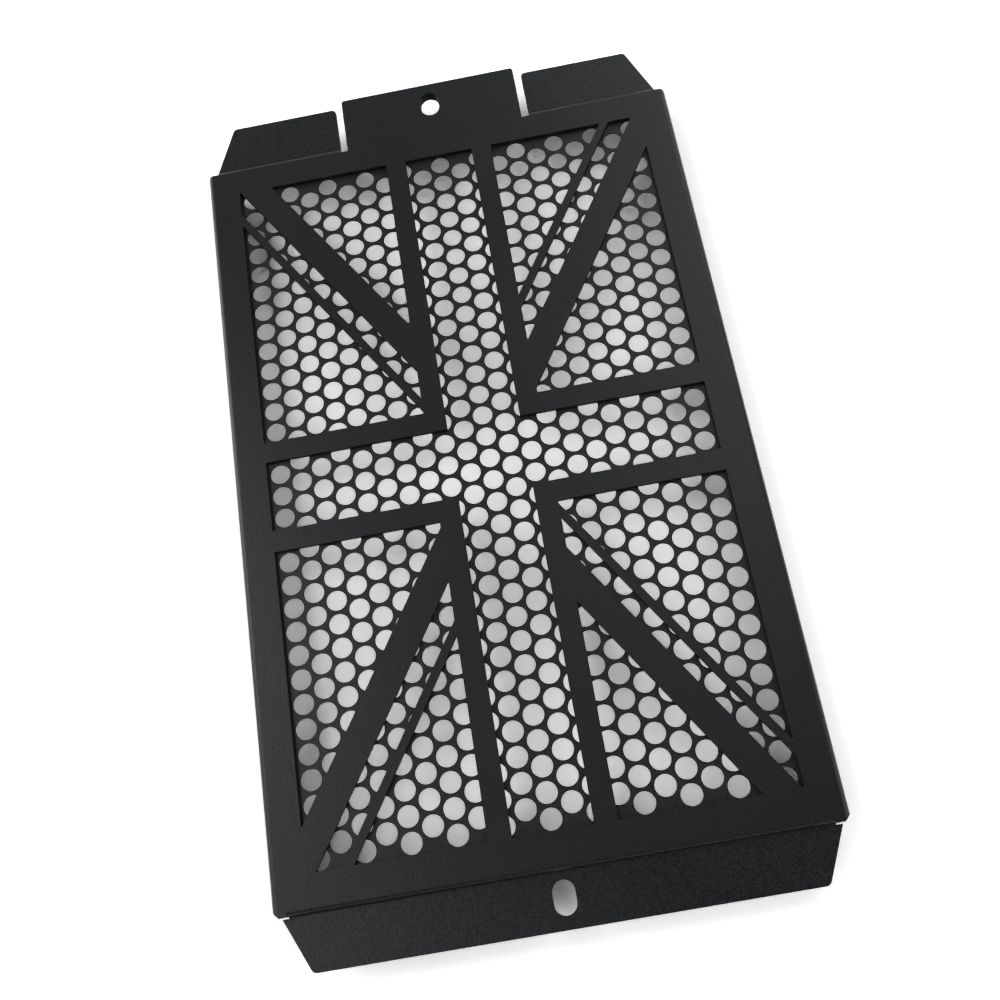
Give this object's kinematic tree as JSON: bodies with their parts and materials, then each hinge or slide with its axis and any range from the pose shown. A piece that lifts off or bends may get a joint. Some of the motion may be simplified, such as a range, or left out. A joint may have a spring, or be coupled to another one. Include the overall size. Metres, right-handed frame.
{
  "type": "motorcycle radiator guard",
  "caption": "Black folded sheet guard with flag-pattern windows over a perforated sheet, side flanges, joggled bolt flange and slotted top tab.",
  "frame": {"origin": "middle of the guard in plan, midway between the two bolt slots, at the lower edges of the side flanges", "axes": "+Z out of the front face, +Y towards the top tabs, +X to the right seen from the front"},
  "size_m": [0.1756, 0.3082, 0.015],
  "materials": {
    "cover_coat": "satin black powder coat",
    "mesh_coat": "satin black powder coat"
  },
  "bodies": {
    "root": {"cover": "cover_coat", "mesh_sheet": "mesh_coat"}
  },
  "joints": []
}
